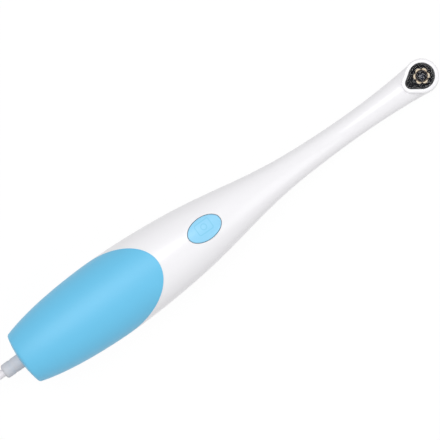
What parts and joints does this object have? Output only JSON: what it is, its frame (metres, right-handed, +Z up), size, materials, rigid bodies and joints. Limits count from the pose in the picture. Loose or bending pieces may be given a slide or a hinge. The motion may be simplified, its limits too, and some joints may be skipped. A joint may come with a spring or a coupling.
{
  "type": "intraoral camera",
  "caption": "Slim dental camera handpiece with a lens window ringed by lamps at its flat tip, a shutter button, a soft rear sleeve and a USB lead in a tied hank.",
  "frame": {"origin": "on the floor under the middle of the handpiece, without its lead", "axes": "+X along the handpiece from the tail to the head, +Z up out of the lens window"},
  "size_m": [0.4067, 0.0331, 0.028],
  "materials": {
    "white_shell": "glossy white moulding",
    "soft_sleeve": "satin soft-touch, blue",
    "button": "satin, light blue",
    "black_plastic": "matt black",
    "cover_glass": "clear, polished",
    "circuit_board": "green solder resist",
    "sensor": "dark, mirror-like",
    "lens_glass": "coated, polished",
    "black_metal": "black anodised",
    "lamp": "yellow phosphor",
    "light_ring": "translucent cream",
    "ribbon": "amber polyimide film",
    "chip": "matt black resin",
    "steel": "bright",
    "cream_plastic": "satin cream",
    "grey_rubber": "matt light grey",
    "lead": "satin light grey",
    "wires": "glossy insulation",
    "tie": "soft black",
    "plated_steel": "nickel plated",
    "contacts": "gold plated"
  },
  "bodies": {
    "handpiece": {"board_components": "chip", "board_screws": "steel", "cable_clamp": "cream_plastic", "cable_hank": "lead", "cable_header": "cream_plastic", "cable_plug_housing": "cream_plastic", "cable_tie": "tie", "clamp_screws": "steel", "cover_glass": "cover_glass", "crystal": "steel", "flex_cable": "ribbon", "flex_connector": "cream_plastic", "front_lens": "lens_glass", "housing_screws": "steel", "image_sensor": "sensor", "inner_cable": "lead", "inner_wires": "wires", "ir_filter": "lens_glass", "led_board": "circuit_board", "leds": "lamp", "lens_barrel": "black_metal", "lens_holder": "black_plastic", "lens_spacer": "black_metal", "light_ring": "light_ring", "lower_shell": "white_shell", "main_board": "circuit_board", "memory_chip": "chip", "plug_contacts": "contacts", "plug_lead": "lead", "plug_overmould": "lead", "plug_shell": "plated_steel", "plug_tongue": "cream_plastic", "processor_chip": "chip", "rear_lens": "lens_glass", "rear_sleeve": "soft_sleeve", "sensor_board": "circuit_board", "strain_relief": "grey_rubber", "supply_capacitor": "steel", "tact_switch": "black_plastic", "upper_shell": "white_shell", "usb_cable": "lead", "window_gasket": "black_plastic"},
    "shutter": {"shutter_button": "button", "switch_plunger": "black_plastic"}
  },
  "joints": [
    {"name": "shutter_press", "type": "slide", "parent": "handpiece", "child": "shutter", "axis": [0, 0, -1], "range_m": [0, 0.0004], "stiffness_N_per_m": 1500}
  ]
}
